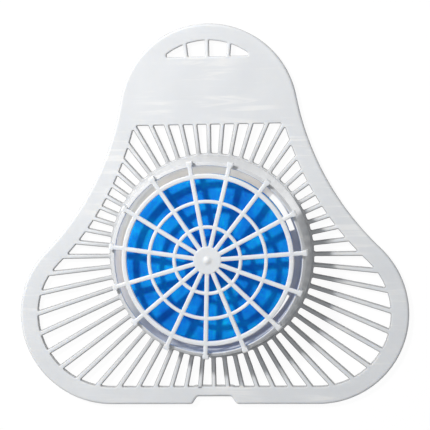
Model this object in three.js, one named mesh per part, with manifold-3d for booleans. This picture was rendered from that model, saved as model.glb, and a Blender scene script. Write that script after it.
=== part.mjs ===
import * as THREE from 'three';
import * as BufferGeometryUtils from 'three/addons/utils/BufferGeometryUtils.js';
import Module from 'manifold-3d';

// A flexible screen that lies over a urinal's drain, with a round cage that holds a deodorizer block.
// Millimetres, +Z up. The screen lies on its flat underside at z = 0 and its solid plate points to +Y.
// Everything is drawn about the point where the ribs meet, and the whole part is centred at the very end.

// Sheet of the screen
const sheetThickness = 3.0;
const domeRadius = 40.9;
const domeDistance = 64.8;
const lobeRadius = 41.9;
const lobeSpread = 48.1;
const lobeDrop = 27.6;
const flankRadius = 130.0;
const rimWidth = 8.4;
const plateEdgeDistance = 59.8;
const outerEdgeRadius = 1.2;
const innerEdgeRadius = 0.5;

// Notch in the straight edge
const notchDepth = 3.6;
const notchHalfWidth = 8.0;
const notchFlare = 2.4;
const notchCornerRadius = 1.6;

// Ribs and the gaps between them
const ribCount = 60;
const ribRootWidth = 1.7;
const ribSpread = 0.01;
const gapRootRadius = 0.8;
const gapEndRadius = 0.35;

// Window in the plate
const windowMargin = 7.6;
const windowHeight = 7.3;
const windowTipHeight = 1.3;
const windowArcRadius = 31.9;
const windowBarWidth = 1.8;
const windowBarCount = 3;
const windowCornerRadius = 0.45;

// Deodorizer block
const blockRadius = 38.0;
const blockHeight = 11.0;
const blockEdgeRadius = 1.4;

// Collar round the block, and its floor. The cage stands a little off the ribs' meeting point
const cageDrop = 0.4;
const waterGap = 4.0;
const collarLedge = 1.0;
const collarHeight = 15.5;
const collarDraft = 3.0;
const collarWall = 1.0;
const collarInnerDraft = 0.2;
const collarStraight = 2.4;
const footFillet = 1.1;
const lipProud = 0.8;
const lipHeight = 1.6;
const floorThickness = 2.4;
const seatWidth = 8.0;
const drainSlotTurns = [30.5, 174.5, 246.5, 318.5];
const drainSlotReach = 2.3;
const drainSlotWidth = 3.7;
const drainSlotSweep = 27.5;
const drainSlotCorner = 0.7;

// Snap-on grille over the block
const spokeCount = 15;
const spokeTurn = 3.4;
const spokeWidth = 1.9;
const spokeDepth = 1.8;
const spokeEdge = 0.35;
const grilleCrown = 0.8;
const outerRingInset = 0.25;
const ringPitch = 11.4;
const outerRingWidth = 2.2;
const innerRingWidth = 1.4;
const ringDepth = 1.6;
const hubRadius = 6.3;
const hubThickness = 2.2;
const hubPipRadius = 2.3;
const hubPipHeight = 0.7;
const fingerWidth = 2.6;
const fingerThickness = 0.7;
const barbReach = 0.75;
const barbHeight = 0.7;

// Clearance between pieces that touch
const seatGap = 0.3;

// Facets round a full circle
const collarFacets = 60;
const blockFacets = 60;
const hubFacets = 24;
const ringFacets = [54, 42, 30];

const wasm = await Module();
wasm.setup();

const degrees = Math.PI / 180;

const whitePlastic = new THREE.MeshStandardMaterial({ color: 0xe9ecef, roughness: 0.42, metalness: 0.0 });
const grillePlastic = new THREE.MeshStandardMaterial({ color: 0xeceef2, roughness: 0.38, metalness: 0.0 });
const blueBlock = new THREE.MeshStandardMaterial({ color: 0x0878dc, roughness: 0.55, metalness: 0.0 });

// Solids and meshes
function toSolid(geometry) {
  const bare = geometry.clone();
  bare.deleteAttribute('normal');
  bare.deleteAttribute('uv');
  const merged = BufferGeometryUtils.mergeVertices(bare, 1e-5);
  const vertProperties = new Float32Array(merged.attributes.position.array);
  const triVerts = new Uint32Array(merged.index.array);
  return new wasm.Manifold(new wasm.Mesh({ numProp: 3, vertProperties, triVerts }));
}

function toMesh(solid, name, material) {
  const { vertProperties, triVerts } = solid.getMesh();
  const geometry = new THREE.BufferGeometry();
  geometry.setAttribute('position', new THREE.BufferAttribute(new Float32Array(vertProperties), 3));
  geometry.setIndex(new THREE.BufferAttribute(new Uint32Array(triVerts), 1));
  geometry.computeVertexNormals();
  const mesh = new THREE.Mesh(geometry, material);
  mesh.name = name;
  return mesh;
}

function joinAll(solids) {
  return solids.reduce((whole, next) => whole.add(next));
}

// Plan curves
function polar(radius, angle) {
  return new THREE.Vector2(radius * Math.cos(angle), radius * Math.sin(angle));
}

function headingOf(vector) {
  return Math.atan2(vector.y, vector.x);
}

function arcPoints(centre, radius, start, end, steps) {
  const points = [];
  for (let i = 0; i <= steps; i += 1) {
    points.push(polar(radius, start + ((end - start) * i) / steps).add(centre));
  }
  return points;
}

// Rounds every corner of a closed loop with an arc of the radius given for it
function roundedLoop(corners, usualSteps) {
  const points = [];
  corners.forEach(({ point, radius, steps = usualSteps }, i) => {
    const before = corners[(i + corners.length - 1) % corners.length].point;
    const after = corners[(i + 1) % corners.length].point;
    const back = before.clone().sub(point);
    const ahead = after.clone().sub(point);
    const turn = Math.acos(back.dot(ahead) / (back.length() * ahead.length()));
    if (!radius || turn > 175 * degrees) {
      points.push(point.clone());
      return;
    }
    const room = 0.45 * Math.min(back.length(), ahead.length());
    const reach = Math.min(radius / Math.tan(turn / 2), room);
    const trueRadius = reach * Math.tan(turn / 2);
    const bisector = back.clone().normalize().add(ahead.clone().normalize()).normalize();
    const centre = point.clone().addScaledVector(bisector, trueRadius / Math.sin(turn / 2));
    const from = point.clone().addScaledVector(back.normalize(), reach).sub(centre);
    const to = point.clone().addScaledVector(ahead.normalize(), reach).sub(centre);
    const sweep = Math.atan2(from.cross(to), from.dot(to));
    points.push(...arcPoints(centre, trueRadius, from.angle(), from.angle() + sweep, steps));
  });
  return points;
}

// Moves a loop into the material, which lies on the left of its edges
function insetLoop(points, distance) {
  return points.map((point, i) => {
    const before = points[(i + points.length - 1) % points.length];
    const after = points[(i + 1) % points.length];
    const edgeIn = point.clone().sub(before).normalize();
    const edgeOut = after.clone().sub(point).normalize();
    const normalIn = new THREE.Vector2(-edgeIn.y, edgeIn.x);
    const normalOut = new THREE.Vector2(-edgeOut.y, edgeOut.x);
    const mitre = normalIn.add(normalOut);
    const stretch = 2 / mitre.lengthSq();
    return point.clone().addScaledVector(mitre, distance * Math.min(stretch, 1.5));
  });
}

// A flat plate with holes, sharp below and with rounded upper edges
function easedPlate(outline, holes, thickness) {
  const positions = [];
  const pushTriangle = (a, b, c) => positions.push(...a, ...b, ...c);
  const bottoms = [];
  const tops = [];
  for (const { points, edgeRadius, edgeSteps } of [outline, ...holes]) {
    const levels = [{ z: 0, inset: 0 }];
    for (let i = 0; i <= edgeSteps; i += 1) {
      const turn = (i / edgeSteps) * (Math.PI / 2);
      levels.push({
        z: thickness - edgeRadius * (1 - Math.sin(turn)),
        inset: edgeRadius * (1 - Math.cos(turn)),
      });
    }
    const rings = levels.map(({ z, inset }) => insetLoop(points, inset).map((p) => [p.x, p.y, z]));
    for (let level = 1; level < rings.length; level += 1) {
      for (let i = 0; i < points.length; i += 1) {
        const j = (i + 1) % points.length;
        pushTriangle(rings[level - 1][i], rings[level - 1][j], rings[level][j]);
        pushTriangle(rings[level - 1][i], rings[level][j], rings[level][i]);
      }
    }
    bottoms.push(rings[0]);
    tops.push(rings[rings.length - 1]);
  }
  for (const [loops, facesUp] of [[bottoms, false], [tops, true]]) {
    const flat = loops.map((loop) => loop.map(([x, y]) => new THREE.Vector2(x, y)));
    const corners = loops.flat();
    for (const [a, b, c] of THREE.ShapeUtils.triangulateShape(flat[0], flat.slice(1))) {
      if (facesUp) pushTriangle(corners[a], corners[b], corners[c]);
      else pushTriangle(corners[a], corners[c], corners[b]);
    }
  }
  const geometry = new THREE.BufferGeometry();
  geometry.setAttribute('position', new THREE.Float32BufferAttribute(positions, 3));
  return geometry;
}

// A ring or disc turned about the cage's axis from a closed profile of radius and height
function turned(profile, facets) {
  const closed = [...profile, profile[0]].map(([radius, z]) => new THREE.Vector2(radius, z));
  const geometry = new THREE.LatheGeometry(closed, facets);
  geometry.rotateX(Math.PI / 2);
  return toSolid(geometry);
}

// A bar lofted through sections, which are loops of [x, y, z] of equal length
function lofted(sections) {
  const positions = [];
  const pushTriangle = (a, b, c) => positions.push(...a, ...b, ...c);
  for (let s = 1; s < sections.length; s += 1) {
    const from = sections[s - 1];
    const to = sections[s];
    for (let i = 0; i < from.length; i += 1) {
      const j = (i + 1) % from.length;
      pushTriangle(from[i], from[j], to[j]);
      pushTriangle(from[i], to[j], to[i]);
    }
  }
  const first = sections[0];
  const last = sections[sections.length - 1];
  for (let i = 1; i + 1 < first.length; i += 1) {
    pushTriangle(first[0], first[i + 1], first[i]);
    pushTriangle(last[0], last[i], last[i + 1]);
  }
  const geometry = new THREE.BufferGeometry();
  geometry.setAttribute('position', new THREE.Float32BufferAttribute(positions, 3));
  return toSolid(geometry);
}

function copiedRound(solid, count, turn) {
  const copies = [];
  for (let i = 0; i < count; i += 1) copies.push(solid.rotate([0, 0, turn + (i * 360) / count]));
  return copies;
}

function toCage(solid) {
  return solid.translate([0, -cageDrop, 0]);
}

// Radii and heights that the pieces share
const floorInnerRadius = blockRadius - seatWidth;
const floorEdgeRadius = blockRadius + waterGap;
const lipInnerRadius = floorEdgeRadius + collarInnerDraft;
const wallTopRadius = lipInnerRadius + collarWall;
const wallFootRadius = wallTopRadius + collarDraft;
const collarFootRadius = wallFootRadius + collarLedge;
const lipRadius = wallTopRadius + lipProud;
const collarTop = sheetThickness + collarHeight;
const cageCentre = new THREE.Vector2(0, -cageDrop);
const lipBottom = collarTop - lipHeight;

// Outline: a dome, two lobes and the hollow flanks that join them
const domeCentre = new THREE.Vector2(0, domeDistance);
const lobeCentre = new THREE.Vector2(lobeSpread, -lobeDrop);
const baseLine = -lobeDrop - lobeRadius;
const apexLine = domeDistance + domeRadius;

function flankCentreFrom() {
  const toLobe = lobeCentre.clone().sub(domeCentre);
  const span = toLobe.length();
  const domeSide = domeRadius + flankRadius;
  const lobeSide = lobeRadius + flankRadius;
  const along = (span * span + domeSide * domeSide - lobeSide * lobeSide) / (2 * span);
  const away = Math.sqrt(domeSide * domeSide - along * along);
  const direction = toLobe.normalize();
  const outward = new THREE.Vector2(-direction.y, direction.x);
  return domeCentre.clone().addScaledVector(direction, along).addScaledVector(outward, away);
}

const flankCentre = flankCentreFrom();
const lobeToFlank = headingOf(flankCentre.clone().sub(lobeCentre));
const domeToFlank = headingOf(flankCentre.clone().sub(domeCentre));

function outlinePoints() {
  const notch = roundedLoop([
    { point: new THREE.Vector2(0, baseLine + notchDepth), radius: 0 },
    { point: new THREE.Vector2(notchHalfWidth, baseLine + notchDepth), radius: notchCornerRadius },
    { point: new THREE.Vector2(notchHalfWidth + notchFlare, baseLine), radius: notchCornerRadius },
    { point: new THREE.Vector2(lobeSpread, baseLine), radius: 0 },
  ], 3).slice(1, -1);
  const lobe = arcPoints(lobeCentre, lobeRadius, -90 * degrees, lobeToFlank, 24);
  const flank = arcPoints(flankCentre, flankRadius, lobeToFlank + Math.PI, domeToFlank + Math.PI, 9);
  const dome = arcPoints(domeCentre, domeRadius, domeToFlank, 90 * degrees, 18);
  const right = [...notch, ...lobe, ...flank.slice(1), ...dome.slice(1)];
  const left = right.slice(0, -1).reverse().map((p) => new THREE.Vector2(-p.x, p.y));
  return [...right, ...left];
}

// Distances from the ribs' meeting point, in a direction: out of the cage's foot, and to the rim or plate
function rayToCircle(direction, centre, radius, farSide) {
  const along = centre.dot(direction);
  const rest = along * along - centre.lengthSq() + radius * radius;
  return along + (farSide ? 1 : -1) * Math.sqrt(rest);
}

function cageReach(angle) {
  return rayToCircle(polar(1, angle), cageCentre, collarFootRadius, true);
}

function reachInside(angle) {
  const direction = new THREE.Vector2(Math.abs(Math.cos(angle)), Math.sin(angle));
  const flankRatio = (lobeRadius - rimWidth) / (lobeRadius + flankRadius);
  const lobeJoin = lobeCentre.clone().lerp(flankCentre, flankRatio);
  const baseJoin = new THREE.Vector2(lobeSpread, baseLine + rimWidth);
  const heading = headingOf(direction);
  if (heading > headingOf(lobeJoin)) {
    const toFlank = rayToCircle(direction, flankCentre, flankRadius + rimWidth, false) || Infinity;
    const toPlate = direction.y > 0 ? plateEdgeDistance / direction.y : Infinity;
    return Math.min(toPlate, toFlank);
  }
  if (heading < headingOf(baseJoin)) return baseJoin.y / direction.y;
  return rayToCircle(direction, lobeCentre, lobeRadius - rimWidth, true);
}

function ribHalfWidth(radius) {
  return (ribRootWidth + ribSpread * (radius - collarFootRadius)) / 2;
}

function ribSidePoint(angle, side, radius) {
  const point = polar(radius, angle);
  return point.add(polar(side * ribHalfWidth(radius), angle + Math.PI / 2));
}

function ribSideEnd(angle, side) {
  let radius = reachInside(angle);
  for (let i = 0; i < 4; i += 1) {
    const reach = reachInside(ribSidePoint(angle, side, radius).angle());
    radius = Math.sqrt(reach * reach - ribHalfWidth(radius) ** 2);
  }
  return ribSidePoint(angle, side, radius);
}

function gapLoop(index) {
  const pitch = (2 * Math.PI) / ribCount;
  const first = index * pitch;
  const second = first + pitch;
  const middle = first + pitch / 2;
  const corners = [
    { point: ribSidePoint(first, 1, cageReach(first)), radius: gapRootRadius },
    { point: polar(cageReach(middle), middle), radius: 0 },
    { point: ribSidePoint(second, -1, cageReach(second)), radius: gapRootRadius },
    { point: ribSideEnd(second, -1), radius: gapEndRadius },
    { point: polar(reachInside(middle), middle), radius: 0 },
    { point: ribSideEnd(first, 1), radius: gapEndRadius },
  ];
  return roundedLoop(corners, 1);
}

// Window: four openings between three bars that follow the ribs' directions
function windowLoops() {
  const arcCentre = new THREE.Vector2(0, apexLine - windowMargin - windowArcRadius);
  const windowFloor = apexLine - windowMargin - windowHeight;
  const tipRise = windowFloor + windowTipHeight - arcCentre.y;
  const windowHalfWidth = Math.sqrt(windowArcRadius ** 2 - tipRise ** 2);
  const pitch = (2 * Math.PI) / ribCount;
  const barLine = (bar, side) => {
    const angle = Math.PI / 2 - (bar - (windowBarCount - 1) / 2) * pitch;
    const offset = (side * windowBarWidth) / 2 / Math.sin(angle);
    return (y) => y / Math.tan(angle) + offset;
  };
  const arcHeight = (x) => arcCentre.y + Math.sqrt(windowArcRadius ** 2 - x * x);
  const loops = [];
  for (let bay = 0; bay <= windowBarCount; bay += 1) {
    const leftAt = bay === 0 ? () => -windowHalfWidth : barLine(bay - 1, 1);
    const rightAt = bay === windowBarCount ? () => windowHalfWidth : barLine(bay, -1);
    const leftTop = leftAt(arcHeight(leftAt(windowFloor)));
    const rightTop = rightAt(arcHeight(rightAt(windowFloor)));
    const corners = [
      { point: new THREE.Vector2(leftAt(windowFloor), windowFloor), radius: windowCornerRadius },
      { point: new THREE.Vector2(leftTop, arcHeight(leftTop)), radius: windowCornerRadius },
    ];
    for (let i = 1; i < 5; i += 1) {
      const x = THREE.MathUtils.lerp(leftTop, rightTop, i / 5);
      corners.push({ point: new THREE.Vector2(x, arcHeight(x)), radius: 0 });
    }
    corners.push(
      { point: new THREE.Vector2(rightTop, arcHeight(rightTop)), radius: windowCornerRadius },
      { point: new THREE.Vector2(rightAt(windowFloor), windowFloor), radius: windowCornerRadius },
    );
    loops.push(roundedLoop(corners, 2));
  }
  return loops;
}

// Collar, lip and floor, one ring turned about the axis
function collarSolid() {
  const footTop = sheetThickness + footFillet;
  return turned([
    [floorInnerRadius, 0],
    [collarFootRadius, 0],
    [collarFootRadius, sheetThickness - innerEdgeRadius],
    [collarFootRadius - innerEdgeRadius, sheetThickness],
    [wallFootRadius + footFillet * 0.35, sheetThickness + footFillet * 0.3],
    [wallFootRadius, footTop],
    [wallTopRadius, lipBottom - collarStraight],
    [wallTopRadius, lipBottom - lipProud * 0.1],
    [lipRadius, lipBottom],
    [lipRadius, collarTop - innerEdgeRadius],
    [lipRadius - innerEdgeRadius, collarTop],
    [lipInnerRadius + innerEdgeRadius, collarTop],
    [lipInnerRadius, collarTop - innerEdgeRadius],
    [floorEdgeRadius + footFillet * 0.1, floorThickness + footFillet],
    [floorEdgeRadius - footFillet * 0.5, floorThickness],
    [floorInnerRadius, floorThickness],
  ], collarFacets);
}

// Curved slots that let water through the floor beside the block
function drainSlots() {
  const outerRadius = blockRadius + drainSlotReach;
  const half = (drainSlotSweep / 2) * degrees;
  const sides = [
    arcPoints(new THREE.Vector2(), outerRadius, -half, half, 8),
    arcPoints(new THREE.Vector2(), outerRadius - drainSlotWidth, half, -half, 8),
  ];
  const corners = sides.flatMap((side) => side.map((point, i) => {
    return { point, radius: i % 8 === 0 ? drainSlotCorner : 0 };
  }));
  const shape = new THREE.Shape(roundedLoop(corners, 3));
  const cutter = new THREE.ExtrudeGeometry(shape, { depth: 3 * floorThickness, bevelEnabled: false });
  cutter.translate(0, 0, -floorThickness);
  const slot = toSolid(cutter);
  return joinAll(drainSlotTurns.map((turn) => slot.rotate([0, 0, turn])));
}

function screenSolid() {
  const reversed = (points) => [...points].reverse();
  const outline = { points: outlinePoints(), edgeRadius: outerEdgeRadius, edgeSteps: 3 };
  const openings = [];
  for (let i = 0; i < ribCount; i += 1) openings.push(gapLoop(i));
  openings.push(...windowLoops());
  const underWall = (lipInnerRadius + wallTopRadius) / 2;
  openings.push(arcPoints(cageCentre, underWall, 0, 2 * Math.PI, collarFacets).slice(0, -1));
  const holes = openings.map((points) => ({
    points: THREE.ShapeUtils.isClockWise(points) ? points : reversed(points),
    edgeRadius: innerEdgeRadius,
    edgeSteps: 1,
  }));
  const sheet = toSolid(easedPlate(outline, holes, sheetThickness));
  return sheet.add(toCage(collarSolid())).subtract(toCage(drainSlots()));
}

// The block lies on the floor of the cage
const blockBottom = floorThickness + seatGap;

function blockSolid() {
  const top = blockBottom + blockHeight;
  const profile = [[0, blockBottom]];
  const lowerCentre = new THREE.Vector2(blockRadius - blockEdgeRadius, blockBottom + blockEdgeRadius);
  const upperCentre = new THREE.Vector2(blockRadius - blockEdgeRadius, top - blockEdgeRadius);
  for (const p of arcPoints(lowerCentre, blockEdgeRadius, -90 * degrees, 0, 2)) profile.push([p.x, p.y]);
  for (const p of arcPoints(upperCentre, blockEdgeRadius, 0, 90 * degrees, 2)) profile.push([p.x, p.y]);
  profile.push([0, top]);
  const geometry = new THREE.LatheGeometry(profile.map(([r, z]) => new THREE.Vector2(r, z)), blockFacets);
  geometry.rotateX(Math.PI / 2);
  return toSolid(geometry);
}

// Grille: its upper face is a shallow crown over the collar
const grilleUnderside = collarTop + seatGap;
const fingerInnerRadius = lipRadius + seatGap;
const fingerOuterRadius = fingerInnerRadius + fingerThickness;

function grilleTopAt(radius) {
  const share = Math.min(radius / lipInnerRadius, 1);
  return grilleUnderside + spokeDepth + grilleCrown * (1 - share * share);
}

function spokeSection(radius) {
  const half = spokeWidth / 2;
  const top = grilleTopAt(radius);
  const bottom = top - spokeDepth;
  return [
    [radius, -half, bottom],
    [radius, half, bottom],
    [radius, half, top - spokeEdge],
    [radius, half - spokeEdge, top],
    [radius, -half + spokeEdge, top],
    [radius, -half, top - spokeEdge],
  ];
}

function spokeSolid() {
  const outerEnd = fingerInnerRadius + fingerThickness / 2;
  const radii = [hubRadius / 2, lipInnerRadius * 0.5, lipInnerRadius * 0.8, lipInnerRadius, outerEnd];
  return lofted(radii.map(spokeSection));
}

// The finger at a spoke's end reaches down past the lip and hooks under it
function fingerSolid() {
  const top = grilleUnderside + spokeDepth;
  const barbTop = lipBottom - seatGap;
  const barbBottom = barbTop - barbHeight;
  const profile = [
    [fingerInnerRadius, barbBottom - barbReach],
    [fingerOuterRadius, barbBottom - barbReach],
    [fingerOuterRadius, top - 2 * spokeEdge],
    [fingerOuterRadius - 2 * spokeEdge, top],
    [lipRadius - collarWall, top],
    [lipRadius - collarWall, grilleUnderside],
    [fingerInnerRadius, grilleUnderside],
    [fingerInnerRadius, barbTop],
    [fingerInnerRadius - barbReach, barbTop],
    [fingerInnerRadius - barbReach, barbBottom],
  ];
  const shape = new THREE.Shape(profile.map(([r, z]) => new THREE.Vector2(r, z)));
  const geometry = new THREE.ExtrudeGeometry(shape, { depth: fingerWidth, bevelEnabled: false });
  geometry.rotateX(Math.PI / 2);
  geometry.translate(0, fingerWidth / 2, 0);
  return toSolid(geometry);
}

function ringSolid(radius, width, facets) {
  const top = grilleTopAt(radius);
  const inner = radius - width / 2;
  const outer = radius + width / 2;
  return turned([
    [inner, top - ringDepth],
    [outer, top - ringDepth],
    [outer, top - spokeEdge],
    [outer - spokeEdge, top],
    [inner + spokeEdge, top],
    [inner, top - spokeEdge],
  ], facets);
}

function hubSolid() {
  const top = grilleTopAt(0) + 0.1;
  const disc = [
    [0, top - hubThickness],
    [hubRadius - spokeEdge, top - hubThickness],
    [hubRadius, top - hubThickness + spokeEdge],
    [hubRadius, top - 2 * spokeEdge],
    [hubRadius - 2 * spokeEdge, top],
    [hubPipRadius, top],
    [hubPipRadius * 0.85, top + hubPipHeight * 0.55],
    [hubPipRadius * 0.5, top + hubPipHeight * 0.9],
    [0, top + hubPipHeight],
  ];
  const geometry = new THREE.LatheGeometry(disc.map(([r, z]) => new THREE.Vector2(r, z)), hubFacets);
  geometry.rotateX(Math.PI / 2);
  return toSolid(geometry);
}

function grilleSolid() {
  const arm = spokeSolid().add(fingerSolid());
  const arms = joinAll(copiedRound(arm, spokeCount, spokeTurn));
  const rings = ringFacets.map((facets, i) => {
    const radius = blockRadius - outerRingInset - i * ringPitch;
    return ringSolid(radius, i === 0 ? outerRingWidth : innerRingWidth, facets);
  });
  return arms.add(joinAll(rings)).add(hubSolid());
}

const part = new THREE.Group();
part.add(toMesh(screenSolid(), 'screen', whitePlastic));
part.add(toMesh(toCage(blockSolid()), 'deodorizer_block', blueBlock));
part.add(toMesh(toCage(grilleSolid()), 'cage_cover', grillePlastic));

// The origin is under the middle of the whole part
part.position.y = -(apexLine + baseLine) / 2;

export default part;
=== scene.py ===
from math import atan2, cos, floor, pi, radians, sin, sqrt, tan

import bpy
from mathutils import Matrix, Vector


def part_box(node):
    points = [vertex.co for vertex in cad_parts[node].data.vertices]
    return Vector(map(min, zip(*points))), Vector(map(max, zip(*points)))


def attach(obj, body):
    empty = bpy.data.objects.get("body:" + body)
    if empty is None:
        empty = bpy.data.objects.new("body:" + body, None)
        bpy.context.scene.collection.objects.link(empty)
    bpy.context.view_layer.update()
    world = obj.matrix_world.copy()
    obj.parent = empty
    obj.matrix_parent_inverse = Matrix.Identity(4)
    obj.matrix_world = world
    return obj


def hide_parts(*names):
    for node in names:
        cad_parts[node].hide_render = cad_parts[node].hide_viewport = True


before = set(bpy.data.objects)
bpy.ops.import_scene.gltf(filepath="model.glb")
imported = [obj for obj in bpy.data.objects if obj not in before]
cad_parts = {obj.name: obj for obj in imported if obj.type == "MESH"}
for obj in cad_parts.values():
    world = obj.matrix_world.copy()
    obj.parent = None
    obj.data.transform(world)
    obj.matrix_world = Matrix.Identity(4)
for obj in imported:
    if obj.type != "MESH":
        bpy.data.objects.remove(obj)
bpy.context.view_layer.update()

bpy.ops.object.select_all(action="DESELECT")

mm = 0.001
weldGap = 0.002 * mm

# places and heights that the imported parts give
blockLow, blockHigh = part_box("deodorizer_block")
_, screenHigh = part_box("screen")
_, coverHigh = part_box("cage_cover")
cageX = (blockLow.x + blockHigh.x) / 2
cageY = (blockLow.y + blockHigh.y) / 2
collarTop = screenHigh.z / mm
blockRadius = (blockHigh.x - blockLow.x) / 2 / mm
print("frame read, top of the cover at", round(coverHigh.z / mm, 2), "mm")


# small helpers

def deselectAll():
    bpy.ops.object.select_all(action="DESELECT")


def pickOnly(obj):
    deselectAll()
    obj.select_set(True)
    bpy.context.view_layer.objects.active = obj


def applyModifier(obj, modifier):
    pickOnly(obj)
    bpy.ops.object.modifier_apply(modifier=modifier.name)


def joinSolid(obj, other, operation="UNION"):
    cut = obj.modifiers.new("cut", "BOOLEAN")
    cut.operation = operation
    cut.solver = "EXACT"
    cut.object = other
    applyModifier(obj, cut)
    bpy.data.objects.remove(other, do_unlink=True)


def copyPiece(obj):
    twin = obj.copy()
    twin.data = obj.data.copy()
    bpy.context.collection.objects.link(twin)
    return twin


def turnAboutCage(obj, angle):
    centre = Vector((cageX, cageY, 0))
    there, back = Matrix.Translation(centre), Matrix.Translation(-centre)
    obj.data.transform(there @ Matrix.Rotation(angle, 4, "Z") @ back)


def softShade(obj, angle=32):
    pickOnly(obj)
    bpy.ops.object.shade_smooth_by_angle(angle=radians(angle))
    even = obj.modifiers.new("evenNormals", "WEIGHTED_NORMAL")
    even.keep_sharp = True
    even.weight = 60
    applyModifier(obj, even)


def polar(radius, angle, centre=(0, 0)):
    return (centre[0] + radius * cos(angle), centre[1] + radius * sin(angle))


def arcPoints(centre, radius, start, end, steps):
    return [polar(radius, start + (end - start) * i / steps, centre) for i in range(steps + 1)]


# corners are given as x, y and radius; a rounding takes at most 0.45 of the shorter side
def roundCorners(corners, steps):
    points = []
    count = len(corners)
    for i, (x, y, radius) in enumerate(corners):
        if not radius:
            points.append((x, y))
            continue
        here = Vector((x, y))
        back = Vector(corners[i - 1][:2]) - here
        ahead = Vector(corners[(i + 1) % count][:2]) - here
        turn = back.angle(ahead)
        reach = min(radius / tan(turn / 2), 0.45 * min(back.length, ahead.length))
        trueRadius = reach * tan(turn / 2)
        inwards = (back.normalized() + ahead.normalized()).normalized()
        centre = here + inwards * (trueRadius / sin(turn / 2))
        first = here + back.normalized() * reach - centre
        last = here + ahead.normalized() * reach - centre
        sweep = atan2(first.x * last.y - first.y * last.x, first.dot(last))
        start = atan2(first.y, first.x)
        points += arcPoints(centre, trueRadius, start, start + sweep, steps)
    return points


# flat plan curves are filled, given their thickness and rounded edges, then made a mesh
def plateFromPlan(name, loops, bottom, top, edge, edgeSteps, lift=0):
    plan = bpy.data.curves.new(name + "Plan", "CURVE")
    plan.dimensions = "2D"
    plan.fill_mode = "BOTH"
    plan.extrude = ((top - bottom) / 2 - edge) * mm
    plan.bevel_depth = edge * mm
    plan.bevel_resolution = edgeSteps
    plan.offset = -edge * mm
    for loop in loops:
        spline = plan.splines.new("POLY")
        spline.points.add(len(loop) - 1)
        for point, (x, y) in zip(spline.points, loop):
            point.co = (cageX + x * mm, cageY + (y + lift) * mm, 0, 1)
        spline.use_cyclic_u = True
    plate = bpy.data.objects.new(name, plan)
    bpy.context.collection.objects.link(plate)
    pickOnly(plate)
    bpy.ops.object.convert(target="MESH")
    plate = bpy.context.object
    plate.data.transform(Matrix.Translation((0, 0, (top + bottom) / 2 * mm)))
    bpy.ops.object.mode_set(mode="EDIT")
    bpy.ops.mesh.select_all(action="SELECT")
    bpy.ops.mesh.remove_doubles(threshold=weldGap)
    bpy.ops.mesh.normals_make_consistent(inside=False)
    bpy.ops.object.mode_set(mode="OBJECT")
    return plate


# a closed ring turned from a circle: each step of the profile is one extrude and one scale
def ringFromProfile(name, profile, steps):
    radius, height = profile[0]
    bpy.ops.mesh.primitive_circle_add(
        vertices=steps, radius=radius * mm, location=(cageX, cageY, height * mm))
    ring = bpy.context.object
    ring.name = name
    bpy.ops.object.transform_apply(location=True, rotation=False, scale=False)
    bpy.ops.object.mode_set(mode="EDIT")
    bpy.ops.mesh.select_all(action="SELECT")
    for nextRadius, nextHeight in profile[1:] + profile[:1]:
        move = {"value": (0, 0, (nextHeight - height) * mm)}
        bpy.ops.mesh.extrude_edges_move(TRANSFORM_OT_translate=move)
        scale = nextRadius / radius
        bpy.ops.transform.resize(value=(scale, scale, 1), center_override=(cageX, cageY, 0))
        radius, height = nextRadius, nextHeight
    bpy.ops.mesh.select_all(action="SELECT")
    bpy.ops.mesh.remove_doubles(threshold=weldGap)
    bpy.ops.mesh.normals_make_consistent(inside=False)
    bpy.ops.object.mode_set(mode="OBJECT")
    return ring


# materials

def newMaterial(name):
    material = bpy.data.materials.new(name)
    material.use_nodes = True
    nodes = material.node_tree.nodes
    links = material.node_tree.links
    return material, nodes, links, nodes["Principled BSDF"]


def addNoise(nodes, links, scale, detail=3.0, roughness=0.55, stretch=(1, 1, 1), swirl=0.0):
    place = nodes.new("ShaderNodeTexCoord")
    mapping = nodes.new("ShaderNodeMapping")
    mapping.inputs["Scale"].default_value = stretch
    noise = nodes.new("ShaderNodeTexNoise")
    noise.inputs["Scale"].default_value = scale
    noise.inputs["Detail"].default_value = detail
    noise.inputs["Roughness"].default_value = roughness
    noise.inputs["Distortion"].default_value = swirl
    links.new(place.outputs["Object"], mapping.inputs["Vector"])
    links.new(mapping.outputs["Vector"], noise.inputs["Vector"])
    return noise.outputs["Fac"]


def addRamp(nodes, links, source, stops):
    ramp = nodes.new("ShaderNodeValToRGB")
    while len(ramp.color_ramp.elements) < len(stops):
        ramp.color_ramp.elements.new(0.5)
    for element, (position, value) in zip(ramp.color_ramp.elements, stops):
        element.position = position
        element.color = (*value, 1)
    links.new(source, ramp.inputs["Fac"])
    return ramp.outputs["Color"]


def addBlend(nodes, links, share, color, other):
    mix = nodes.new("ShaderNodeMixRGB")
    links.new(share, mix.inputs["Fac"])
    links.new(color, mix.inputs["Color1"])
    mix.inputs["Color2"].default_value = (*other, 1)
    return mix.outputs["Color"]


def addRange(nodes, links, source, low, high, fromLow=0.3, fromHigh=0.7):
    span = nodes.new("ShaderNodeMapRange")
    span.interpolation_type = "SMOOTHSTEP"
    span.inputs["From Min"].default_value = fromLow
    span.inputs["From Max"].default_value = fromHigh
    span.inputs["To Min"].default_value = low
    span.inputs["To Max"].default_value = high
    links.new(source, span.inputs["Value"])
    return span.outputs["Result"]


def addMath(nodes, links, operation, first, second):
    math = nodes.new("ShaderNodeMath")
    math.operation = operation
    for socket, value in zip(math.inputs, (first, second)):
        if isinstance(value, (int, float)):
            socket.default_value = value
        else:
            links.new(value, socket)
    return math.outputs["Value"]


def addProduct(nodes, links, first, *others):
    for other in others:
        first = addMath(nodes, links, "MULTIPLY", first, other)
    return first


def addVectorMath(nodes, links, operation, source, other=(0, 0, 0), output="Vector"):
    math = nodes.new("ShaderNodeVectorMath")
    math.operation = operation
    math.inputs[1].default_value = other
    links.new(source, math.inputs[0])
    return math.outputs[output]


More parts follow.
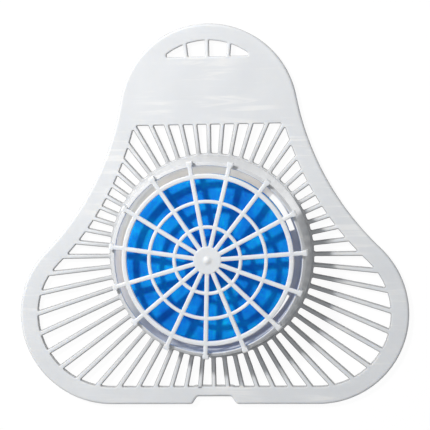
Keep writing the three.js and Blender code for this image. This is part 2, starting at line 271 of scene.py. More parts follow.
def addBump(nodes, links, height, distance, strength=1.0, below=None):
    bump = nodes.new("ShaderNodeBump")
    bump.inputs["Strength"].default_value = strength
    bump.inputs["Distance"].default_value = distance
    links.new(height, bump.inputs["Height"])
    if below is not None:
        links.new(below, bump.inputs["Normal"])
    return bump.outputs["Normal"]


whitePlastic = {
    "light": (0.815, 0.83, 0.85),
    "shade": (0.77, 0.787, 0.81),
    "streak": (0.89, 0.892, 0.895),
    # painted shade: the grey that surfaces turned away from the top are blended towards
    "edge": (0.46, 0.465, 0.475),
    "roughLow": 0.36,
    "roughHigh": 0.52,
    "cloudScale": 42,
    "streakScale": 120,
    "streakStretch": (0.16, 2.0, 1.0),
    "streakSwirl": 1.1,
    "streakFrom": 0.49,
    "streakTo": 0.64,
    "patchScale": 24,
    "patchLow": 0.05,
    "patchHigh": 0.8,
    "patchFrom": 0.42,
    "patchTo": 0.6,
    "edgeTo": 0.2,
    "wearScale": 190,
    "grainScale": 1600,
    "grainDepth": 0.012,
    "flowScale": 26,
    "flowStretch": (0.35, 1.0, 1.0),
    "flowDepth": 0.12,
    "glowDepth": 1.1,
    "glowReach": (1.0, 0.95, 0.88),
    "ior": 1.46,
    "screenTint": 0.955,
    "coverTint": 0.99,
}

# painted light: an emission glow brightens the channel round the block and the collar's wall
collarPaintedLight = {
    "channelPaintedLight": (1.0, 0.86, 0.62),
    "wallPaintedLight": (0.92, 0.92, 0.92),
    "channel": {
        "strength": 0.42,
        "inner": 37.0,
        "outer": 42.7,
        "azimuth": 128,
        "from": -0.3,
        "to": 0.4,
        "least": 0.17,
    },
    "wall": {
        "strength": 0.46,
        "inner": 42.7,
        "outer": 47.1,
        "azimuth": 90,
        "from": 0.39,
        "to": 0.46,
        "least": 0.0,
    },
    "sideFade": 0.2,
    "bottom": 3.1,
    "bottomFade": 0.6,
    "top": 18.0,
    "topFade": 1.4,
    "lampAzimuth": 136,
    "lampFrom": 0.75,
    "lampTo": -0.2,
    "cloudScale": 90,
    "cloudLow": 0.86,
    "cloudHigh": 1.1,
}


def addTowards(nodes, links, heading, azimuth):
    way = (cos(radians(azimuth)), sin(radians(azimuth)), 0)
    return addVectorMath(nodes, links, "DOT_PRODUCT", heading, way, "Value")


def addPaintedLightBand(nodes, links, band, heading, reach, fade):
    inner, outer = band["inner"] * mm, band["outer"] * mm
    towards = addTowards(nodes, links, heading, band["azimuth"])
    glow = addRange(nodes, links, towards, band["least"], 1.0, band["from"], band["to"])
    inside = addRange(nodes, links, reach, 0.0, 1.0, inner, inner + fade)
    outside = addRange(nodes, links, reach, 0.0, 1.0, outer + fade / 2, outer - fade / 2)
    return addProduct(nodes, links, inside, outside, glow, band["strength"])


# painted light: the lamp lights its own side of the wall by itself, so the wall's painted glow goes
# only on the other sides
def addCollarPaintedLight(material, look):
    nodes, links = material.node_tree.nodes, material.node_tree.links
    shader = nodes["Principled BSDF"]
    fade = look["sideFade"] * mm
    place = nodes.new("ShaderNodeTexCoord")
    fromAxis = addVectorMath(nodes, links, "SUBTRACT", place.outputs["Object"], (cageX, cageY, 0))
    flat = addVectorMath(nodes, links, "MULTIPLY", fromAxis, (1, 1, 0))
    reach = addVectorMath(nodes, links, "LENGTH", flat, output="Value")
    heading = addVectorMath(nodes, links, "NORMALIZE", flat)
    split = nodes.new("ShaderNodeSeparateXYZ")
    links.new(fromAxis, split.inputs["Vector"])
    height = split.outputs["Z"]
    channel = addPaintedLightBand(nodes, links, look["channel"], heading, reach, fade)
    wall = addPaintedLightBand(nodes, links, look["wall"], heading, reach, fade)
    facing = addTowards(nodes, links, heading, look["lampAzimuth"])
    unlit = addRange(nodes, links, facing, 0.0, 1.0, look["lampFrom"], look["lampTo"])
    bottom, bottomFade = look["bottom"] * mm, look["bottomFade"] * mm
    above = addRange(nodes, links, height, 0.0, 1.0, bottom, bottom + bottomFade)
    both = addMath(nodes, links, "ADD", channel, addProduct(nodes, links, wall, unlit, above))
    top, topFade = look["top"] * mm, look["topFade"] * mm
    below = addRange(nodes, links, height, 0.0, 1.0, top, top - topFade)
    noise = addNoise(nodes, links, look["cloudScale"], 3)
    cloud = addRange(nodes, links, noise, look["cloudLow"], look["cloudHigh"])
    # painted light: the glow goes into the emission of the screen's plastic
    links.new(addProduct(nodes, links, both, below, cloud), shader.inputs["Emission Strength"])
    edge = look["channel"]["outer"] * mm
    tones = nodes.new("ShaderNodeMixRGB")
    tones.inputs["Color1"].default_value = (*look["channelPaintedLight"], 1)
    tones.inputs["Color2"].default_value = (*look["wallPaintedLight"], 1)
    share = addRange(nodes, links, reach, 0.0, 1.0, edge - fade / 2, edge + fade / 2)
    links.new(share, tones.inputs["Fac"])
    links.new(tones.outputs["Color"], shader.inputs["Emission Color"])


def makeWhitePlastic(name, look, tint):
    material, nodes, links, shader = newMaterial(name)
    light, shade, streak = (tuple(c * tint for c in look[key]) for key in ("light", "shade", "streak"))
    cloud = addNoise(nodes, links, look["cloudScale"], 4)
    color = addRamp(nodes, links, cloud, [(0.3, shade), (0.7, light)])
    swirl = addNoise(
        nodes, links, look["streakScale"], 4, 0.6, look["streakStretch"], look["streakSwirl"])
    streaks = addRange(nodes, links, swirl, 0.0, 1.0, look["streakFrom"], look["streakTo"])
    patchNoise = addNoise(nodes, links, look["patchScale"], 2)
    patches = addRange(
        nodes, links, patchNoise,
        look["patchLow"], look["patchHigh"], look["patchFrom"], look["patchTo"])
    color = addBlend(nodes, links, addProduct(nodes, links, streaks, patches), color, streak)
    # painted shade: surfaces turned away from the top blend towards the grey edge colour
    turned = nodes.new("ShaderNodeAttribute")
    turned.attribute_name = "paintedShade"
    edges = addRange(nodes, links, turned.outputs["Fac"], 0.0, 1.0, 0.0, look["edgeTo"])
    color = addBlend(nodes, links, edges, color, look["edge"])
    links.new(color, shader.inputs["Base Color"])
    wear = addNoise(nodes, links, look["wearScale"], 5, 0.65)
    rough = addRange(nodes, links, wear, look["roughLow"], look["roughHigh"])
    links.new(rough, shader.inputs["Roughness"])
    flow = addNoise(nodes, links, look["flowScale"], 3, 0.5, look["flowStretch"])
    flowNormal = addBump(nodes, links, flow, look["flowDepth"] * mm, 0.6)
    grain = addNoise(nodes, links, look["grainScale"], 2, 0.5)
    grainNormal = addBump(nodes, links, grain, look["grainDepth"] * mm, 0.5, flowNormal)
    links.new(grainNormal, shader.inputs["Normal"])
    shader.inputs["IOR"].default_value = look["ior"]
    shader.inputs["Subsurface Weight"].default_value = 1.0
    shader.inputs["Subsurface Radius"].default_value = look["glowReach"]
    shader.inputs["Subsurface Scale"].default_value = look["glowDepth"] * mm
    return material


scentedBlock = {
    "deep": (0.0, 0.16, 0.57),
    "middle": (0.0, 0.27, 0.7),
    "pale": (0.0, 0.45, 0.84),
    # painted light: a faint blue emission lifts the block's shadows to a deeper blue
    "inner": (0.0, 0.07, 1.0),
    "paintedBlueGlow": 0.07,
    "roughLow": 0.45,
    "roughHigh": 0.65,
    "shine": 0.12,
    "mottleScale": 75,
    "deepAt": 0.32,
    "middleAt": 0.5,
    "paleAt": 0.7,
    "waxScale": 300,
    "lumpScale": 160,
    "lumpDepth": 0.3,
    "grainScale": 1300,
    "grainDepth": 0.04,
    "glowShare": 0.8,
    "glowReach": (0.03, 0.22, 1.0),
    "glowDepth": 2.5,
}


def makeBlockMaterial(name, look):
    material, nodes, links, shader = newMaterial(name)
    mottle = addNoise(nodes, links, look["mottleScale"], 5, 0.62)
    stops = [(look[tone + "At"], look[tone]) for tone in ("deep", "middle", "pale")]
    links.new(addRamp(nodes, links, mottle, stops), shader.inputs["Base Color"])
    wax = addNoise(nodes, links, look["waxScale"], 4, 0.6)
    rough = addRange(nodes, links, wax, look["roughLow"], look["roughHigh"])
    links.new(rough, shader.inputs["Roughness"])
    lumps = addNoise(nodes, links, look["lumpScale"], 3)
    lumpNormal = addBump(nodes, links, lumps, look["lumpDepth"] * mm, 0.5)
    grain = addNoise(nodes, links, look["grainScale"], 3)
    grainNormal = addBump(nodes, links, grain, look["grainDepth"] * mm, 0.6, lumpNormal)
    links.new(grainNormal, shader.inputs["Normal"])
    shader.inputs["Specular IOR Level"].default_value = look["shine"]
    shader.inputs["Subsurface Weight"].default_value = look["glowShare"]
    shader.inputs["Subsurface Radius"].default_value = look["glowReach"]
    shader.inputs["Subsurface Scale"].default_value = look["glowDepth"] * mm
    # painted light: the block's faint blue emission
    shader.inputs["Emission Color"].default_value = (*look["inner"], 1)
    shader.inputs["Emission Strength"].default_value = look["paintedBlueGlow"]
    return material


screenPlastic = makeWhitePlastic("screenPlastic", whitePlastic, whitePlastic["screenTint"])
# painted light on the channel and wall of the screen's collar
addCollarPaintedLight(screenPlastic, collarPaintedLight)
coverPlastic = makeWhitePlastic("coverPlastic", whitePlastic, whitePlastic["coverTint"])
blockMaterial = makeBlockMaterial("scentedBlockWax", scentedBlock)
print("materials made")


# the sheet: a broad round rim band, and the field of gaps and window inside it

sheet = {
    "thickness": 3.0,
    "ribsAboveCage": 0.4,
    "domeRadius": 40.9,
    "domeY": 64.8,
    "lobeRadius": 41.9,
    "lobeX": 48.1,
    "lobeY": -27.6,
    "flankRadius": 130.0,
    "rimWidth": 8.4,
    "plateEdgeY": 59.8,
    "rimEdge": 1.25,
    "bandWidth": 5.4,
    "fieldInset": 2.6,
    "fieldEdge": 0.72,
    "overlap": 0.012,
    "notchDepth": 3.6,
    "notchHalf": 8.0,
    "notchFlare": 2.4,
    "notchRound": 1.6,
    "notchLeastRound": 0.5,
    "ribCount": 60,
    "ribRoot": 2.0,
    "ribSpread": 0.01,
    # painted shade at the roots of the ribs next to the collar, and a smaller share of it on the rim
    "rootPaintedShade": 0.11,
    "rimPaintedShadeShare": 0.2,
    "collarToneTo": -0.6,
    "rootPaintedShadeTo": 1.0,
    "rimPaintedShadeFrom": 4.0,
    "gapRootRound": 0.8,
    "gapEndRound": 0.35,
    "windowMargin": 7.6,
    "windowHeight": 7.3,
    "windowTip": 1.3,
    "windowArc": 31.9,
    "windowBar": 1.8,
    "windowRound": 0.45,
    "windowBays": 4,
}

collar = {
    "waterGap": 4.0,
    "innerDraft": 0.2,
    "wall": 1.0,
    "draft": 3.0,
    "straight": 2.4,
    "ledge": 1.0,
    "lipProud": 0.8,
    "tone": 0.085,
    "lipHeight": 1.6,
    "lipFall": 0.9,
    "footFillet": 0.5,
    "footOverlap": 0.25,
    "footStep": 0.1,
    "footBelow": 0.06,
    "lipSlant": 0.1,
    "lipChamfer": 0.35,
    "floor": 2.4,
    "seatWidth": 8.0,
    "slotTurns": (30.5, 174.5, 246.5, 318.5),
    "slotReach": 2.3,
    "slotWidth": 3.7,
    "slotSweep": 27.5,
    "slotRound": 0.7,
    "cutterBottom": -2.0,
    "cutterTop": 5.0,
}

floorEdge = blockRadius + collar["waterGap"]
lipInner = floorEdge + collar["innerDraft"]
wallTop = lipInner + collar["wall"]
wallFoot = wallTop + collar["draft"]
collarFoot = wallFoot + collar["ledge"]
lipRadius = wallTop + collar["lipProud"]


def flankCentre():
    domeSide = sheet["domeRadius"] + sheet["flankRadius"]
    lobeSide = sheet["lobeRadius"] + sheet["flankRadius"]
    toLobe = Vector((sheet["lobeX"], sheet["lobeY"] - sheet["domeY"]))
    span = toLobe.length
    along = (span ** 2 + domeSide ** 2 - lobeSide ** 2) / (2 * span)
    away = sqrt(domeSide ** 2 - along ** 2)
    toLobe.normalize()
    return (
        toLobe.x * along - toLobe.y * away,
        sheet["domeY"] + toLobe.y * along + toLobe.x * away,
    )


flankX, flankY = flankCentre()
baseY = sheet["lobeY"] - sheet["lobeRadius"]
apexY = sheet["domeY"] + sheet["domeRadius"]


# the outline moved inwards by a distance, from the notch round to the top and back
def outlineLoop(inset):
    lobeTurn = atan2(flankY - sheet["lobeY"], flankX - sheet["lobeX"])
    domeTurn = atan2(flankY - sheet["domeY"], flankX)
    base = baseY + inset
    notchTop = base + sheet["notchDepth"]
    half = sheet["notchHalf"] + 0.35 * inset
    flare = sheet["notchFlare"]
    lobe, flank, dome = (sheet["lobeX"], sheet["lobeY"]), (flankX, flankY), (0, sheet["domeY"])
    right = roundCorners([
        (0, notchTop, 0),
        (half, notchTop, sheet["notchRound"] + inset * 0.5),
        (half + flare, base, max(sheet["notchRound"] - inset * 0.3, sheet["notchLeastRound"])),
        (sheet["lobeX"], base, 0),
    ], 5)[1:-1]
    right += arcPoints(lobe, sheet["lobeRadius"] - inset, -pi / 2, lobeTurn, 60)
    right += arcPoints(flank, sheet["flankRadius"] + inset, lobeTurn + pi, domeTurn + pi, 24)[1:]
    right += arcPoints(dome, sheet["domeRadius"] - inset, domeTurn, pi / 2, 44)[1:]
    return right + [(-x, y) for x, y in reversed(right[:-1])]


def rayToCircle(ux, uy, cx, cy, radius, far):
    along = cx * ux + cy * uy
    rest = along ** 2 - cx ** 2 - cy ** 2 + radius ** 2
    return None if rest < 0 else along + (sqrt(rest) if far else -sqrt(rest))


# how far the gaps reach from the cage's axis before they meet the rim or the plate
def reachInside(angle):
    ux, uy = abs(cos(angle)), sin(angle)
    rim = sheet["rimWidth"]
    share = (sheet["lobeRadius"] - rim) / (sheet["lobeRadius"] + sheet["flankRadius"])
    joinX = sheet["lobeX"] + (flankX - sheet["lobeX"]) * share
    joinY = sheet["lobeY"] + (flankY - sheet["lobeY"]) * share
    heading = atan2(uy, ux)
    if heading > atan2(joinY, joinX):
        reaches = [rayToCircle(ux, uy, flankX, flankY, sheet["flankRadius"] + rim, False)]
        reaches.append(sheet["plateEdgeY"] / uy if uy > 0 else None)
        return min(r for r in reaches if r is not None)
    if heading < atan2(baseY + rim, sheet["lobeX"]):
        return (baseY + rim) / uy
    return rayToCircle(ux, uy, sheet["lobeX"], sheet["lobeY"], sheet["lobeRadius"] - rim, True)


def cageReach(angle):
    return rayToCircle(cos(angle), sin(angle), 0, -sheet["ribsAboveCage"], collarFoot, True)


def ribHalf(radius):
    return (sheet["ribRoot"] + sheet["ribSpread"] * (radius - collarFoot)) / 2


def ribSide(angle, side, radius):
    return polar(side * ribHalf(radius), angle + pi / 2, polar(radius, angle))


def ribSideEnd(angle, side):
    radius = reachInside(angle)
    for _ in range(4):
        x, y = ribSide(angle, side, radius)
        radius = sqrt(reachInside(atan2(y, x)) ** 2 - ribHalf(radius) ** 2)
    return ribSide(angle, side, radius)


def gapLoop(index):
    pitch = 2 * pi / sheet["ribCount"]
    first, second = index * pitch, (index + 1) * pitch
    middle = (first + second) / 2
    root, end = sheet["gapRootRound"], sheet["gapEndRound"]
    return roundCorners([
        (*ribSide(first, 1, cageReach(first)), root),
        (*polar(cageReach(middle), middle), 0),
        (*ribSide(second, -1, cageReach(second)), root),
        (*ribSideEnd(second, -1), end),
        (*polar(reachInside(middle), middle), 0),
        (*ribSideEnd(first, 1), end),
    ], 5)


def windowLoops():
    pitch = 2 * pi / sheet["ribCount"]
    arcRadius = sheet["windowArc"]
    arcY = apexY - sheet["windowMargin"] - arcRadius
    bottom = apexY - sheet["windowMargin"] - sheet["windowHeight"]
    halfWidth = sqrt(arcRadius ** 2 - (bottom + sheet["windowTip"] - arcY) ** 2)

    def arcHeight(x):
        return arcY + sqrt(arcRadius ** 2 - x * x)

    def barEdge(bar, side, y):
        angle = pi / 2 - (bar - 1) * pitch
        return y / tan(angle) + side * sheet["windowBar"] / 2 / sin(angle)

    loops = []
    last = sheet["windowBays"] - 1
    arcSteps = 10
    for bay in range(sheet["windowBays"]):
        lowLeft = -halfWidth if bay == 0 else barEdge(bay - 1, 1, bottom)
        lowRight = halfWidth if bay == last else barEdge(bay, -1, bottom)
        highLeft = -halfWidth if bay == 0 else barEdge(bay - 1, 1, arcHeight(lowLeft))
        highRight = halfWidth if bay == last else barEdge(bay, -1, arcHeight(lowRight))
        corner = sheet["windowRound"]
        corners = [(lowLeft, bottom, corner), (highLeft, arcHeight(highLeft), corner)]
        for i in range(1, arcSteps):
            x = highLeft + (highRight - highLeft) * i / arcSteps
            corners.append((x, arcHeight(x), 0))
        corners += [(highRight, arcHeight(highRight), corner), (lowRight, bottom, corner)]
        loops.append(roundCorners(corners, 5))
    return loops


def makeCollar():
    thick = sheet["thickness"]
    buried = wallFoot + collar["footOverlap"]
    step = thick - collar["footBelow"]
    chamfer = collar["lipChamfer"]
    lipBottom = collarTop - collar["lipHeight"]
    seat = blockRadius - collar["seatWidth"]
    profile = roundCorners([
        (seat, 0, 0.5),
        (buried, 0, 0.2),
        (buried, step, 0.02),
        (wallFoot + collar["footStep"], step, 0.05),
        (wallFoot, thick + collar["footFillet"], 0.4),
        (wallTop, lipBottom - collar["straight"], 1.5),
        (wallTop, lipBottom - collar["lipSlant"], 0.15),
        (lipRadius, lipBottom, 0.2),
        (lipRadius, collarTop - collar["lipFall"], 0.5),
        (lipInner + chamfer, collarTop, 0.5),
        (lipInner, collarTop - chamfer, 0.4),
        (floorEdge, collar["floor"], 1.6),
        (seat, collar["floor"], 0.5),
    ], 6)
    return ringFromProfile("collarRing", profile, 180)


def makeDrainSlots():
    outer = blockRadius + collar["slotReach"]
    half = radians(collar["slotSweep"] / 2)
    steps = 24
    slots = []
    for turn in map(radians, collar["slotTurns"]):
        corners = []
        for radius, way in ((outer, 1), (outer - collar["slotWidth"], -1)):
            side = arcPoints((0, 0), radius, turn - half * way, turn + half * way, steps)
            for i, (x, y) in enumerate(side):
                corners.append((x, y, 0 if i % steps else collar["slotRound"]))
        slots.append(roundCorners(corners, 5))
    return slots


# painted shade: how far each edge turns away from the top, kept on the mesh so that it can be painted
# greyer:
# one value on the collar, painted shade darkening the root of each rib next to the collar, and less on
# the rim
def markPaintedShade(obj):
    pitch = 2 * pi / sheet["ribCount"]
    values = []
    for vertex in obj.data.vertices:
        x = (vertex.co.x - cageX) / mm
        y = (vertex.co.y - cageY) / mm - sheet["ribsAboveCage"]
        radius = sqrt(x * x + y * y)
        gap = (floor(atan2(y, x) / pitch) + 0.5) * pitch
        away = 1 - max(vertex.normal.z, 0)
        if radius < collarFoot + sheet["collarToneTo"]:
            away = collar["tone"]
        elif radius < collarFoot + sheet["rootPaintedShadeTo"]:
            away = max(away, sheet["rootPaintedShade"])
        elif radius > reachInside(gap) + sheet["rimPaintedShadeFrom"]:
            away *= sheet["rimPaintedShadeShare"]
        values.append(away)
    turned = obj.data.attributes.new("paintedShade", "FLOAT", "POINT")
    turned.data.foreach_set("value", values)


# the field is a hair thinner than the rim, so that their faces never share a plane
def makeScreen():
    thick, lift, hair = sheet["thickness"], sheet["ribsAboveCage"], sheet["overlap"]
    rimLoops = [outlineLoop(0), outlineLoop(sheet["bandWidth"])]
    band = plateFromPlan("rimBand", rimLoops, 0, thick, sheet["rimEdge"], 7, lift)
    gaps = [gapLoop(i) for i in range(sheet["ribCount"])]
    underWall = arcPoints((0, -lift), (lipInner + wallTop) / 2, 0, 2 * pi, 180)[:-1]
    fieldLoops = [outlineLoop(sheet["fieldInset"]), *gaps, *windowLoops(), underWall]
    field = plateFromPlan(
        "screenMoulding", fieldLoops, hair, thick - hair, sheet["fieldEdge"], 4, lift)
    joinSolid(field, band)
    ring = makeCollar()
    for loop in makeDrainSlots():
        cutter = plateFromPlan(
            "slotCutter", [loop], collar["cutterBottom"], collar["cutterTop"], 0.01, 0)
        joinSolid(ring, cutter, "DIFFERENCE")
    joinSolid(field, ring)
    softShade(field)
    markPaintedShade(field)
    field.data.materials.clear()
    field.data.materials.append(screenPlastic)
    return field


screenMoulding = makeScreen()
print("screen made", len(screenMoulding.data.polygons))


# the cover: hub, spokes with hooked fingers, and three rings

cover = {
    "spokeCount": 15,
    "spokeTurn": 3.6,
    "spokeWidth": 2.0,
    "spokeDepth": 1.8,
    "spokeEdge": 0.45,
    "crown": 0.8,
    "outerRingInset": 0.25,
    "ringCount": 3,
    "ringPitch": 11.4,
    "outerRingWidth": 2.2,
    "innerRingWidth": 1.6,
    "ringDepth": 1.6,
    "hubRadius": 6.3,
    "hubThick": 2.2,
    "pipRadius": 2.3,
    "pipHeight": 0.7,
    "fingerWidth": 2.6,
    "fingerThick": 0.7,
    "barbReach": 0.75,
    "barbHeight": 0.7,
    "seatGap": 0.3,
    "fingerEdge": 0.25,
    "hubEdge": 0.45,
    "hubProud": 0.1,
}

coverUnder = collarTop + cover["seatGap"]
fingerInner = lipRadius + cover["seatGap"]
fingerOuter = fingerInner + cover["fingerThick"]


def coverTopAt(radius):
    share = min(radius / lipInner, 1)
    return coverUnder + cover["spokeDepth"] + cover["crown"] * (1 - share * share)


# a bar along +X made from a cube, cut into lengths, crowned and edged, then turned into place
def makeSpoke():
    start, end = cover["hubRadius"] / 2, fingerInner + cover["fingerThick"] / 2
    length = (end - start) * mm
    place = (cageX + (start + end) / 2 * mm, cageY, 0)
    bpy.ops.mesh.primitive_cube_add(size=1, location=place)
    spoke = bpy.context.object
    spoke.name = "spoke"
    spoke.scale = (length, cover["spokeWidth"] * mm, cover["spokeDepth"] * mm)
    bpy.ops.object.transform_apply(location=True, rotation=False, scale=True)
    bpy.ops.object.mode_set(mode="EDIT")
    lengths = 14
    for i in range(1, lengths):
        cutX = cageX + (start + (end - start) * i / lengths) * mm
        bpy.ops.mesh.select_all(action="SELECT")
        bpy.ops.mesh.bisect(plane_co=(cutX, 0, 0), plane_no=(1, 0, 0))
    bpy.ops.object.mode_set(mode="OBJECT")
    for vertex in spoke.data.vertices:
        radius = (vertex.co.x - cageX) / mm
        vertex.co.z += (coverTopAt(radius) - cover["spokeDepth"] / 2) * mm
    for edge in spoke.data.edges:
        a, b = (spoke.data.vertices[i].co for i in edge.vertices)
        edge.select = abs(a.y - b.y) < 1e-6 and abs(a.x - b.x) > 1e-6
    bevelSelected(spoke, cover["spokeEdge"], 3)
    return spoke


def bevelSelected(obj, width, segments):
    pickOnly(obj)
    bpy.ops.object.mode_set(mode="EDIT")
    bpy.ops.mesh.select_mode(type="EDGE")
    bpy.ops.mesh.bevel(offset=width * mm, segments=segments, profile=0.5, affect="EDGES")
    bpy.ops.mesh.select_all(action="SELECT")
    bpy.ops.mesh.select_mode(type="VERT")
    bpy.ops.object.mode_set(mode="OBJECT")


# the finger's side view is drawn as a face, then given its width
def makeFinger():
    top = coverUnder + cover["spokeDepth"]
    barbTop = collarTop - collar["lipHeight"] - cover["seatGap"]
    barbLow = barbTop - cover["barbHeight"]
    seat = lipRadius - collar["wall"]
    side = roundCorners([
        (fingerInner, barbLow - cover["barbReach"], 0.15),
        (fingerOuter, barbLow - cover["barbReach"], 0.35),
        (fingerOuter, top, 0.75),
        (seat, top, 0),
        (seat, coverUnder, 0),
        (fingerInner, coverUnder, 0.2),
        (fingerInner, barbTop, 0.1),
        (fingerInner - cover["barbReach"], barbTop, 0.1),
        (fingerInner - cover["barbReach"], barbLow, 0.1),
    ], 4)
    shape = bpy.data.meshes.new("finger")
    half = cover["fingerWidth"] / 2 * mm
    corners = [(cageX + x * mm, cageY - half, z * mm) for x, z in side]
    shape.from_pydata(corners, [], [range(len(corners))])
    finger = bpy.data.objects.new("finger", shape)
    bpy.context.collection.objects.link(finger)
    pickOnly(finger)
    bpy.ops.object.mode_set(mode="EDIT")
    bpy.ops.mesh.select_all(action="SELECT")
    width = {"value": (0, 2 * half, 0)}
    bpy.ops.mesh.extrude_region_move(TRANSFORM_OT_translate=width)
    bpy.ops.mesh.select_all(action="SELECT")
    bpy.ops.mesh.normals_make_consistent(inside=False)
    bpy.ops.object.mode_set(mode="OBJECT")
    edge = finger.modifiers.new("edge", "BEVEL")
    edge.width = cover["fingerEdge"] * mm
    edge.segments = 3
    edge.limit_method = "ANGLE"
    edge.angle_limit = radians(60)
    applyModifier(finger, edge)
    return finger


def makeRing(radius, width):
    top = coverTopAt(radius)
    low = top - cover["ringDepth"]
    profile = roundCorners([
        (radius - width / 2, low, 0.25),
        (radius + width / 2, low, 0.25),
        (radius + width / 2, top, 0.5),
        (radius - width / 2, top, 0.5),
    ], 4)
    return ringFromProfile("coverRing", profile, 160)


def makeHub():
    top = coverTopAt(0) + cover["hubProud"]
    bpy.ops.mesh.primitive_cylinder_add(
        vertices=72, radius=cover["hubRadius"] * mm, depth=cover["hubThick"] * mm,
        location=(cageX, cageY, (top - cover["hubThick"] / 2) * mm))
    hub = bpy.context.object
    hub.name = "hub"
    bpy.ops.object.transform_apply(location=True, rotation=False, scale=False)
    bpy.ops.object.mode_set(mode="EDIT")
    bpy.ops.mesh.select_all(action="DESELECT")
    bpy.ops.object.mode_set(mode="OBJECT")
    for face in hub.data.polygons:
        face.select = face.normal.z > 0.9
    bpy.ops.object.mode_set(mode="EDIT")
    bpy.ops.mesh.select_mode(type="FACE")
    bpy.ops.mesh.inset(thickness=(cover["hubRadius"] - cover["pipRadius"]) * mm)
    pipSteps = 9
    radius, height = cover["pipRadius"], 0
    for i in range(1, pipSteps):
        share = 1 - i / pipSteps
        nextRadius = cover["pipRadius"] * share
        nextHeight = cover["pipHeight"] * (1 - share * share) ** 2
        lift = {"value": (0, 0, (nextHeight - height) * mm)}
        bpy.ops.mesh.extrude_region_move(TRANSFORM_OT_translate=lift)
        scale = nextRadius / radius
        bpy.ops.transform.resize(value=(scale, scale, 1), center_override=(cageX, cageY, 0))
        radius, height = nextRadius, nextHeight
    bpy.ops.mesh.select_mode(type="VERT")
    bpy.ops.object.mode_set(mode="OBJECT")
    edge = hub.modifiers.new("edge", "BEVEL")
    edge.width = cover["hubEdge"] * mm
    edge.segments = 4
    edge.limit_method = "ANGLE"
    edge.angle_limit = radians(60)
    applyModifier(hub, edge)
    return hub


def makeCover():
    arm = makeSpoke()
    joinSolid(arm, makeFinger())
    whole = makeHub()
    whole.name = "cageCoverMoulding"
    pitch = 2 * pi / cover["spokeCount"]
    for i in range(cover["spokeCount"]):
        twin = copyPiece(arm)
        turnAboutCage(twin, radians(cover["spokeTurn"]) + i * pitch)
        joinSolid(whole, twin)
    bpy.data.objects.remove(arm, do_unlink=True)
    for i in range(cover["ringCount"]):
        radius = blockRadius - cover["outerRingInset"] - i * cover["ringPitch"]
        width = cover["outerRingWidth"] if i == 0 else cover["innerRingWidth"]
        joinSolid(whole, makeRing(radius, width))
    softShade(whole)
    whole.data.materials.clear()
    whole.data.materials.append(coverPlastic)
    return whole


coverMoulding = makeCover()
print("cover made", len(coverMoulding.data.polygons))


# the block: a flat round cake, its faces divided into rings

block = {
    "edge": 1.4,
    "steps": 144,
    "topRings": 26,
}


def makeBlock():
    low, high = blockLow.z / mm, blockHigh.z / mm
    edge = block["edge"]
    bpy.ops.mesh.primitive_cylinder_add(
        vertices=block["steps"], radius=blockRadius * mm, depth=(high - low) * mm,
        location=(cageX, cageY, (low + high) / 2 * mm))
    cake = bpy.context.object
    cake.name = "scentedBlock"
    bpy.ops.object.transform_apply(location=True, rotation=False, scale=False)
    rounding = cake.modifiers.new("rounding", "BEVEL")
    rounding.width = edge * mm
    rounding.segments = 6
    rounding.limit_method = "ANGLE"
    rounding.angle_limit = radians(60)
    applyModifier(cake, rounding)
    for face in cake.data.polygons:
        face.select = abs(face.normal.z) > 0.99 and len(face.vertices) > 8
    bpy.ops.object.mode_set(mode="EDIT")
    bpy.ops.mesh.select_mode(type="FACE")
    step = (blockRadius - edge) / block["topRings"] * mm
    for _ in range(block["topRings"] - 1):
        bpy.ops.mesh.inset(thickness=step, use_boundary=True)
    bpy.ops.mesh.poke()
    bpy.ops.mesh.select_mode(type="VERT")
    bpy.ops.object.mode_set(mode="OBJECT")
    pickOnly(cake)
    bpy.ops.object.shade_smooth_by_angle(angle=radians(40))
    cake.data.materials.clear()
    cake.data.materials.append(blockMaterial)
    return cake


scentedCake = makeBlock()
print("block made", len(scentedCake.data.polygons))


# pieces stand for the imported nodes

for piece, node, slotName in (
    (screenMoulding, "screen", "screen_plastic"),
    (coverMoulding, "cage_cover", "cover_plastic"),
    (scentedCake, "deodorizer_block", "scented_block"),
):
    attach(piece, "root")
    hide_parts(node)


# floor, light and camera

stage = {
    "floorSize": 6.0,
    "floorBelow": 0.0001,
    "floorRough": 0.9,
    "keyStrength": 2.85,
    "keyAzimuth": 136,
    "keyHeight": 43,
    "keyDistance": 0.8,
    "keySize": 0.085,
    "fillStrength": 0.36,
    "shadowShare": 0.05,
    "shadowGain": 1.3,
    "floorColor": (0.8, 0.8, 0.8),
    "fillColor": (0.96, 0.98, 1.0),
    "keyColor": (1.0, 0.99, 0.975),
}


def whiteToCamera(nodes, links, plain, shownShader, output):
    path = nodes.new("ShaderNodeLightPath")
    either = nodes.new("ShaderNodeMath")
    either.operation = "MAXIMUM"
    links.new(path.outputs["Is Camera Ray"], either.inputs[0])
    links.new(path.outputs["Is Glossy Ray"], either.inputs[1])
    mix = nodes.new("ShaderNodeMixShader")
    links.new(either.outputs[0], mix.inputs[0])
    links.new(plain, mix.inputs[1])
    links.new(shownShader, mix.inputs[2])
    links.new(mix.outputs[0], output)


# the floor and the surround look white to the camera, and the floor keeps a faint shadow
def makeFloor():
    bpy.ops.mesh.primitive_plane_add(size=stage["floorSize"], location=(0, 0, -stage["floorBelow"]))
    ground = bpy.context.object
    ground.name = "floor"
    material, nodes, links, shader = newMaterial("floorWhite")
    shader.inputs["Base Color"].default_value = (*stage["floorColor"], 1)
    shader.inputs["Roughness"].default_value = stage["floorRough"]
    glow = nodes.new("ShaderNodeEmission")
    glow.inputs["Strength"].default_value = 1.0 - stage["shadowShare"]
    dim = nodes.new("ShaderNodeBsdfDiffuse")
    grey = stage["shadowShare"] * stage["shadowGain"]
    dim.inputs["Color"].default_value = (grey, grey, grey, 1)
    both = nodes.new("ShaderNodeAddShader")
    links.new(glow.outputs[0], both.inputs[0])
    links.new(dim.outputs[0], both.inputs[1])
    output = nodes["Material Output"].inputs["Surface"]
    whiteToCamera(nodes, links, shader.outputs[0], both.outputs[0], output)
    ground.data.materials.append(material)


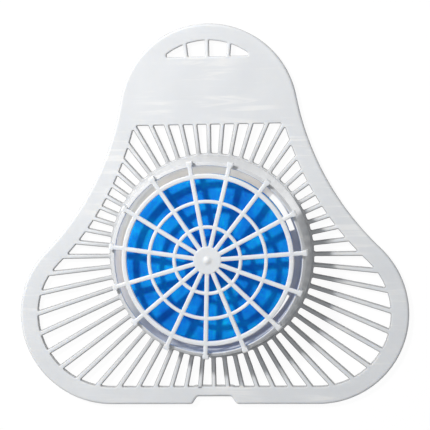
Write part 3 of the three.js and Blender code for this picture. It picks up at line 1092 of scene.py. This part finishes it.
def makeWorld():
    world = bpy.data.worlds.new("studio")
    bpy.context.scene.world = world
    world.use_nodes = True
    nodes, links = world.node_tree.nodes, world.node_tree.links
    fill = nodes["Background"]
    fill.inputs["Color"].default_value = (*stage["fillColor"], 1)
    fill.inputs["Strength"].default_value = stage["fillStrength"]
    shown = nodes.new("ShaderNodeBackground")
    shown.inputs["Strength"].default_value = 1.0
    output = nodes["World Output"].inputs["Surface"]
    whiteToCamera(nodes, links, fill.outputs[0], shown.outputs[0], output)


# the lamp stands near enough for its light to fall off across the screen, as in the photo
def makeKeyLight():
    azimuth, height = radians(stage["keyAzimuth"]), radians(stage["keyHeight"])
    towards = Vector((cos(azimuth) * cos(height), sin(azimuth) * cos(height), sin(height)))
    aim = Vector((cageX, cageY, 0))
    bpy.ops.object.light_add(type="AREA", location=aim + towards * stage["keyDistance"])
    key = bpy.context.object
    key.data.shape = "DISK"
    key.data.size = stage["keySize"]
    key.data.energy = stage["keyStrength"] * pi * stage["keyDistance"] ** 2
    key.data.color = stage["keyColor"]
    key.rotation_euler = towards.to_track_quat("Z", "Y").to_euler()


photoView = {
    "tiltRight": 5.6,
    "tiltUp": 4.7,
    "roll": -1.2,
    "aimX": 1.87,
    "aimY": 18.23,
    "distance": 698.0,
    "focalPixels": 1518.0,
    "framePixels": 430,
    "sensor": 36.0,
}


def makeCamera():
    slopeX, slopeY = (tan(radians(photoView[key])) for key in ("tiltRight", "tiltUp"))
    ahead = Vector((-slopeX, -slopeY, -1)).normalized()
    right = ahead.cross(Vector((0, 1, 0))).normalized()
    up = right.cross(ahead)
    roll = radians(photoView["roll"])
    turnedRight = right * cos(roll) + up * sin(roll)
    turnedUp = up * cos(roll) - right * sin(roll)
    aimY = cageY + (sheet["ribsAboveCage"] + photoView["aimY"]) * mm
    aim = Vector((cageX + photoView["aimX"] * mm, aimY, 0))
    bpy.ops.object.camera_add(location=aim - ahead * photoView["distance"] * mm)
    camera = bpy.context.object
    camera.rotation_euler = Matrix((turnedRight, turnedUp, -ahead)).transposed().to_euler()
    camera.data.sensor_width = photoView["sensor"]
    camera.data.lens = photoView["focalPixels"] * photoView["sensor"] / photoView["framePixels"]
    bpy.context.scene.camera = camera


makeFloor()
makeWorld()
makeKeyLight()
makeCamera()
bpy.context.scene.view_settings.view_transform = "Standard"
print("stage made")
